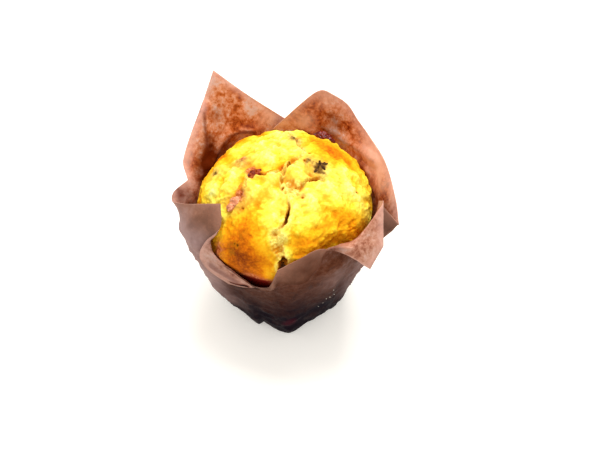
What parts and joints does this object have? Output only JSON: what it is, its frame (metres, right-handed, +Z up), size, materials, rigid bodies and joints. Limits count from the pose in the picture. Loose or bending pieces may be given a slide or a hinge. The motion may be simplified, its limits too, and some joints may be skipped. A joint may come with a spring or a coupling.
{
  "type": "fruit muffin",
  "caption": "Domed fruit muffin with a split golden crust, in a brown parchment case folded from a square sheet, with tall points, a folded-in point and turned-out flaps.",
  "frame": {"origin": "centre of the flat foot of the paper case, on the surface it stands on", "axes": "+Z up, -Y to the front where the rim of the case is notched, +X to the right seen from the front"},
  "size_m": [0.091, 0.0831, 0.0961],
  "materials": {
    "parchment": "brown greaseproof paper, slightly translucent, darkened by fat",
    "crust": "baked yellow crumb and orange-brown crust, matt",
    "fruit": "cooked dark red fruit, moist"
  },
  "bodies": {
    "root": {"paper_case": "parchment", "muffin": "crust", "fruit_left": "fruit", "fruit_streak": "fruit", "fruit_right": "fruit", "fruit_back": "fruit", "fruit_front": "fruit"}
  },
  "joints": []
}
